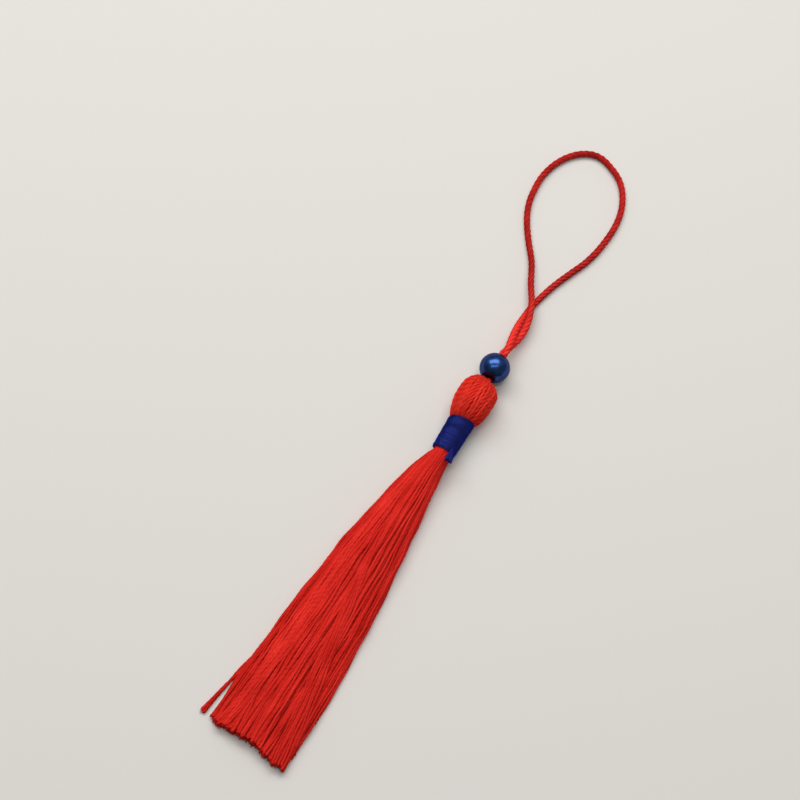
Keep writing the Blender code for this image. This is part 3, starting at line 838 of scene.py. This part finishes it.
# Inside of the head and the waist: the yarns that don't show, as one closed core. In the head its surface
# lies 0.04 mm inside the middle of the outer yarns.
core_line = HEAD_LINE[1:-2]
core_round = full_circle(48)
core_reach = (core_line[:, 1] - 0.04)[:, None]
core_rings = np.stack(
    [
        core_line[:, 2, None] + core_reach * np.sin(core_round),
        core_line[:, :1] - end_drop(core_line[:, :1], core_round),
        np.maximum(core_line[:, 3, None] + core_reach * np.cos(core_round), 0.05),
    ],
    axis=-1,
)
waist_rings = np.stack(
    [
        WAIST[0] + WAIST_CORE * np.sin(core_round) + np.zeros((2, core_round.size)),
        np.array([BINDING_FOOT, WAIST_END])[:, None] + np.zeros((2, core_round.size)),
        WAIST[1] + WAIST_CORE * np.cos(core_round) + np.zeros((2, core_round.size)),
    ],
    axis=-1,
)
core_rings = np.concatenate([waist_rings, core_rings])[None]
# The core's colour is painted darker than the skirt yarns', as painted shade between the outer yarns
head_core = add_tubes(
    "head_yarns_inner", core_rings, core_rings[:, :, 0, 1] - BINDING_FOOT, (-0.25,), skirt_silk
)
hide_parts("yarn_bundle")


# Binding: navy thread wound tightly round the waist, turn beside turn, with its cut end left standing
# at the skirt's end on the right. It holds the yarns together, and is a little wider by the head.
BINDING_INSIDE = 1.95
THREAD = 0.21
NAVY_GLOSS = (0.22, 0.34, 1.0)
# The binding's outside: y, distance from the axis
BINDING_LINE = np.array([(21.6, 2.22), (22.0, 2.33), (25.2, 2.38), (28.6, 2.50), (29.0, 2.40)])


def binding_grid():
    """Rings of the wound binding. Outside, the distance from the axis is the binding's line plus
    0.05 * |cos(pi * turns)|, where turns = y / thread - angle / 2 pi, so that the ridges climb one thread
    on each round, plus slow waves where the turns have crossed. At each end the surface turns in to
    the inside radius, where a flat face closes it round the yarns. The end by the head slants: it is
    nearer to the skirt by the slant * (1 - sin(angle)) / 2 over the last four millimetres."""
    angle = -full_circle(96)
    y = np.linspace(BINDING_FOOT, BINDING_HEAD, 230)
    base = np.interp(y, BINDING_LINE[:, 0], BINDING_LINE[:, 1])
    turns = y[:, None] / THREAD - angle / (2 * math.pi)
    uneven = 0.03 * np.sin(y[:, None] * 2.1 + 2 * np.sin(angle)) * np.sin(3 * angle + y[:, None] * 0.7)
    crossed = 0.012 * np.sin(y[:, None] * 9.7 - angle)
    crossed = crossed + 0.012 * np.sin(y[:, None] * 6.1 + angle + 1.0)
    outside = base[:, None] + 0.05 * np.abs(np.cos(math.pi * turns)) + uneven + crossed
    rows = np.concatenate([y[:1], y, y[-1:]])
    inside = np.full((1, angle.size), BINDING_INSIDE)
    reach = np.concatenate([inside, outside, inside])
    slant = BINDING_SLANT * (0.5 - 0.5 * np.sin(angle)) * np.clip((rows[:, None] - 25.0) / 4.0, 0, 1)
    return np.stack(
        [
            WAIST[0] + reach * np.sin(angle),
            rows[:, None] - slant,
            WAIST[1] + reach * np.cos(angle),
        ],
        axis=-1,
    )


binding_silk = yarn_finish(
    "navy_thread_silk",
    bright=(0.0205, 0.0310, 0.212),
    deep=(0.0065, 0.0090, 0.055),
    ridges=(1, 1 / THREAD),
    fibres=(3, 34.0),
    roughness=0.33,
    relief=0.042,
    gloss=NAVY_GLOSS,
    contrast=0.95,
    shine=0.58,
)
binding_rings = binding_grid()[None]
binding = add_tubes(
    "wound_binding", binding_rings, binding_rings[:, :, 0, 1] - BINDING_FOOT, (0.0,), binding_silk
)
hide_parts("binding_thread")

# Cut tail of the binding thread: its strands come out from under the turns at the skirt's end, stand up
# over the skirt and spread a little.
TAIL_STRANDS = 9
# Middle of the tail: y, distance from the waist's axis
TAIL_LINE = np.array([(22.9, 2.28), (22.0, 2.46), (21.2, 2.74), (20.4, 3.02), (19.6, 3.34)])
tail_dice = np.random.default_rng(21)
tail_ys = np.linspace(TAIL_LINE[0, 0], TAIL_LINE[-1, 0], 26)
tail_out = np.interp(-tail_ys, -TAIL_LINE[:, 0], TAIL_LINE[:, 1])
tail_open = np.clip((22.6 - tail_ys) / 2.2, 0, 1)
tail_spot = np.stack([np.arange(TAIL_STRANDS) % 3 - 1.0, np.arange(TAIL_STRANDS) // 3 - 1.0], axis=-1)
tail_spot = tail_spot * (0.42, 0.28) + tail_dice.normal(0, 0.03, (TAIL_STRANDS, 2))
tail_angle = math.radians(52)
tail_across = np.array([math.sin(tail_angle), 0.0, -math.cos(tail_angle)])
tail_away = np.array([math.cos(tail_angle), 0.0, math.sin(tail_angle)])
tail_cut = tail_dice.uniform(-0.35, 0.1, TAIL_STRANDS)
tail_path = (
    np.array([WAIST[0], 0.0, WAIST[1]])
    + tail_away * (tail_out + tail_spot[:, 1:] * tail_open)[..., None]
    + tail_across * (tail_spot[:, :1] * tail_open)[..., None]
    + np.array([0.0, 1.0, 0.0]) * (tail_ys - tail_cut[:, None] * tail_open)[..., None]
)
tail_round = full_circle(8)
tail_width = (0.12 + 0.11 * tail_open)[:, None]
tail_width = np.broadcast_to(tail_width, (TAIL_STRANDS, tail_ys.size, tail_round.size))
tail_rings = carried(
    tail_path, tail_away, tail_width * np.cos(tail_round), tail_width * np.sin(tail_round)
)
tail_silk = yarn_finish(
    "navy_tail_silk",
    bright=(0.0200, 0.0290, 0.190),
    deep=(0.0065, 0.0090, 0.070),
    ridges=(2, 1.6),
    fibres=(9, -2.0),
    roughness=0.45,
    relief=0.020,
    gloss=NAVY_GLOSS,
    contrast=0.50,
)
binding_tail = add_tubes(
    "binding_cut_tail",
    tail_rings,
    np.broadcast_to(TAIL_LINE[0, 0] - tail_ys, tail_path.shape[:2]),
    tail_dice.normal(0, 0.06, TAIL_STRANDS),
    tail_silk,
)


# Bead: a round bead with a navy pearl coat, drilled through and threaded on the two legs of the cord, so
# that it sits on top of the head. It is an arc turned round the hole, and of the hole itself only a
# shallow hollow at each mouth is made, where the cord goes in.
BEAD_MIDDLE = (3.45, 40.9, 3.10)
BEAD_RADIUS = 2.9
BEAD_MOUTH_RADIUS = 1.05
bead_mouth = math.asin(BEAD_MOUTH_RADIUS / BEAD_RADIUS)
bead_angle = np.linspace(math.pi - bead_mouth, bead_mouth, 44)
bead_end = BEAD_RADIUS * math.cos(bead_mouth)
bead_rows = np.concatenate(
    [
        [(-bead_end + 0.22, 0.90)],
        np.stack([BEAD_RADIUS * np.cos(bead_angle), BEAD_RADIUS * np.sin(bead_angle)], axis=-1),
        [(bead_end - 0.22, 0.90)],
    ]
)
bead_rows[1, 0] += 0.05
bead_rows[-2, 0] -= 0.05
bead_round = -full_circle(72)
bead_rings = np.stack(
    [
        BEAD_MIDDLE[0] + bead_rows[:, 1, None] * np.sin(bead_round),
        BEAD_MIDDLE[1] + bead_rows[:, 0, None] + np.zeros(bead_round.size),
        BEAD_MIDDLE[2] + bead_rows[:, 1, None] * np.cos(bead_round),
    ],
    axis=-1,
)[None]
pearl, pearl_tree, pearl_shader = new_material("navy_pearl_coat")
pearl_place = pearl_tree.nodes.new("ShaderNodeTexCoord")
pearl_noise = noise(pearl_tree, pearl_place, 900.0, 4.0)
pearl_deep = (0.25, (0.006, 0.020, 0.100))
pearl_bright = (0.80, (0.021, 0.090, 0.310))
coloured(pearl_tree, pearl_shader, pearl_noise, pearl_deep, pearl_bright)
pearl_dull = joined(pearl_tree, "MULTIPLY_ADD", pearl_noise, 0.10, 0.25)
pearl_tree.links.new(pearl_dull, pearl_shader.inputs["Roughness"])
raised(pearl_tree, pearl_shader, pearl_noise, 0.15, 0.01)
pearl_shader.inputs["Metallic"].default_value = 1.0
pearl_shader.inputs["Specular Tint"].default_value = (0.07, 0.11, 0.33, 1.0)
pearl_shader.inputs["Coat Weight"].default_value = 0.40
pearl_shader.inputs["Coat Roughness"].default_value = 0.10
bead_along = bead_rings[:, :, 0, 1] - (BEAD_MIDDLE[1] - BEAD_RADIUS)
bead = add_tubes("pearl_bead", bead_rings, bead_along, (0.0,), pearl)
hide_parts("bead")


# Table and light: a pale matt table top, a large soft light from beyond the top of the picture, a narrow
# strip light high over the tassel, and a pale room all round that is brightest beyond the picture's top.
TABLE_HALF = 1.5
TABLE_DROP = 0.00002
table_corners = [(x * TABLE_HALF, y * TABLE_HALF, 0) for x, y in ((-1, -1), (1, -1), (1, 1), (-1, 1))]
table_mesh = bpy.data.meshes.new("table_top")
table_mesh.from_pydata(table_corners, [], [(0, 1, 2, 3)])
table = bpy.data.objects.new("table_top", table_mesh)
bpy.context.scene.collection.objects.link(table)
table.location.z = -TABLE_DROP
table_paint, _, table_shader = new_material("pale_table")
table_shader.inputs["Base Color"].default_value = (0.682, 0.661, 0.630, 1.0)
table_shader.inputs["Roughness"].default_value = 0.75
table_shader.inputs["Specular IOR Level"].default_value = 0.2
table_mesh.materials.append(table_paint)


LIGHTS_FACE = np.array([0.0, 0.02, 0.0])


def soft_light(name, towards, distance, size, power, colour):
    """A rectangular light at a distance from the tassel, facing it. towards gives its direction as
    shares of the picture's right, the picture's up and the way to the camera."""
    axes = np.array([picture_right, picture_up, towards_camera])
    way = np.asarray(towards, float) @ axes
    way /= np.linalg.norm(way)
    side = np.cross(picture_up, way)
    side /= np.linalg.norm(side)
    lamp = bpy.data.lights.new(name, "AREA")
    lamp.shape = "RECTANGLE"
    lamp.size, lamp.size_y = size
    lamp.energy = power
    lamp.color = colour
    holder = bpy.data.objects.new(name, lamp)
    bpy.context.scene.collection.objects.link(holder)
    rows = list(zip(side, np.cross(way, side), way, LIGHTS_FACE + way * distance))
    holder.matrix_world = Matrix(rows + [(0, 0, 0, 1)])


soft_light(
    "window",
    towards=(-0.04, 0.80, 0.60),
    distance=0.65,
    size=(0.80, 0.32),
    power=3.60,
    colour=(1.0, 0.99, 0.975),
)
soft_light(
    "ceiling_strip",
    towards=(-0.02, 0.27, 1.0),
    distance=0.9,
    size=(0.85, 0.05),
    power=1.7,
    colour=(1.0, 1.0, 1.0),
)
room = bpy.data.worlds.new("pale_room")
room.use_nodes = True
room_light = room.node_tree.nodes["Background"]
room_light.inputs["Color"].default_value = (1.0, 0.99, 0.98, 1.0)
room_way = room.node_tree.nodes.new("ShaderNodeTexCoord")
room_side = room.node_tree.nodes.new("ShaderNodeVectorMath")
room_side.operation = "DOT_PRODUCT"
room_side.inputs[1].default_value = (
    np.array(picture_up) * 0.88 + np.array(towards_camera) * 0.38 + np.array(picture_right) * 0.25
)
room_range = room.node_tree.nodes.new("ShaderNodeMapRange")
room_range.inputs["From Min"].default_value = -0.50
room_range.inputs["From Max"].default_value = 1.00
room_range.inputs["To Min"].default_value = 0.07
room_range.inputs["To Max"].default_value = 0.46
room.node_tree.links.new(room_way.outputs["Generated"], room_side.inputs[0])
room.node_tree.links.new(room_side.outputs["Value"], room_range.inputs["Value"])
room.node_tree.links.new(room_range.outputs["Result"], room_light.inputs["Strength"])
bpy.context.scene.world = room
bpy.context.scene.view_settings.view_transform = "Standard"
